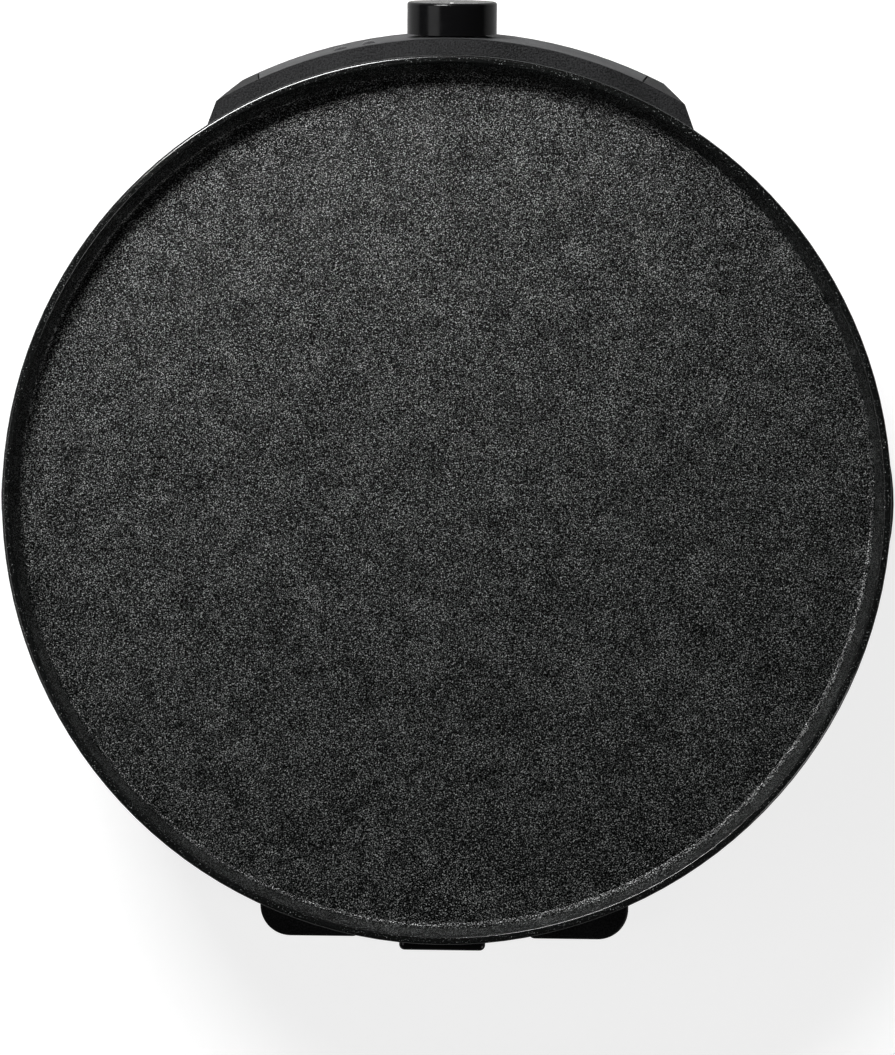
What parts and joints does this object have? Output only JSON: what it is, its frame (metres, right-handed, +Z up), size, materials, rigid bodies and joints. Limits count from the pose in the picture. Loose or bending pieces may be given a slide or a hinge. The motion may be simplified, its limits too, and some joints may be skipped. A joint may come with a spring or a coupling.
{
  "type": "electric griddle",
  "caption": "Round electric griddle: a rimmed non-stick plate on a plastic base with legs, a front temperature knob, indicator lights and a rear mains inlet.",
  "frame": {"origin": "middle of the footprint, on the worktop", "axes": "+Z up out of the cooking surface, +Y from the control knob towards the mains inlet at the rear"},
  "size_m": [0.3358, 0.3668, 0.085],
  "materials": {
    "nonstick_aluminium": "pebbled dark non-stick coating on cast aluminium",
    "housing_plastic": "fine spark-eroded texture",
    "gloss_black_plastic": "polished black",
    "panel_plastic": "glossy dark grey trim",
    "smoked_lens": "smoked translucent",
    "white_inlay": "moulded inlay",
    "foot_rubber": "matt",
    "gasket_silicone": "heat-proof silicone",
    "element_steel": "heat-tinted tube",
    "reflector_steel": "bright aluminised sheet",
    "zinc_steel": "zinc-plated",
    "contact_brass": "plated contact",
    "control_bakelite": "control moulding",
    "lamp_glass": "small glow lamp",
    "glass_sleeve": "woven glass fibre",
    "lead_live": "silicone insulation",
    "lead_neutral": "silicone insulation",
    "lead_load": "silicone insulation",
    "lead_earth": "silicone insulation"
  },
  "bodies": {
    "griddle": {"cooking_plate": "nonstick_aluminium", "plate_gasket": "gasket_silicone", "base_shell": "housing_plastic", "bottom_cover": "housing_plastic", "control_panel": "panel_plastic", "panel_screws": "zinc_steel", "thermostat_body": "control_bakelite", "thermostat_bracket": "zinc_steel", "thermostat_screws": "zinc_steel", "power_light_lens": "smoked_lens", "ready_light_lens": "smoked_lens", "indicator_lamps": "lamp_glass", "lamp_holder": "housing_plastic", "rear_leg_left": "housing_plastic", "rear_leg_right": "housing_plastic", "front_leg_left": "housing_plastic", "front_leg_right": "housing_plastic", "rear_foot_left": "foot_rubber", "rear_foot_right": "foot_rubber", "front_foot_left": "foot_rubber", "front_foot_right": "foot_rubber", "leg_screws": "zinc_steel", "inlet_housing": "gloss_black_plastic", "inlet_pins": "contact_brass", "inlet_screws": "zinc_steel", "heating_element": "element_steel", "element_terminals": "contact_brass", "element_clamps": "zinc_steel", "clamp_screws": "zinc_steel", "heat_reflector": "reflector_steel", "plate_screws": "zinc_steel", "cover_screws": "zinc_steel", "sensing_bulb": "contact_brass", "bulb_clip": "zinc_steel", "thermal_fuse": "zinc_steel", "fuse_sleeve": "glass_sleeve", "live_lead": "lead_live", "neutral_lead": "lead_neutral", "load_lead": "lead_load", "earth_lead": "lead_earth", "capillary_tube": "contact_brass", "earth_tag": "contact_brass", "earth_screw": "zinc_steel"},
    "knob": {"control_knob": "gloss_black_plastic", "knob_pointer": "white_inlay", "knob_spring_clip": "zinc_steel", "thermostat_shaft": "zinc_steel"}
  },
  "joints": [
    {"name": "knob_turn", "type": "hinge", "parent": "griddle", "child": "knob", "pos_m": [0, -0.16687, 0.048], "axis": [0, 0.9744, -0.225], "range_deg": [0, 270]}
  ]
}
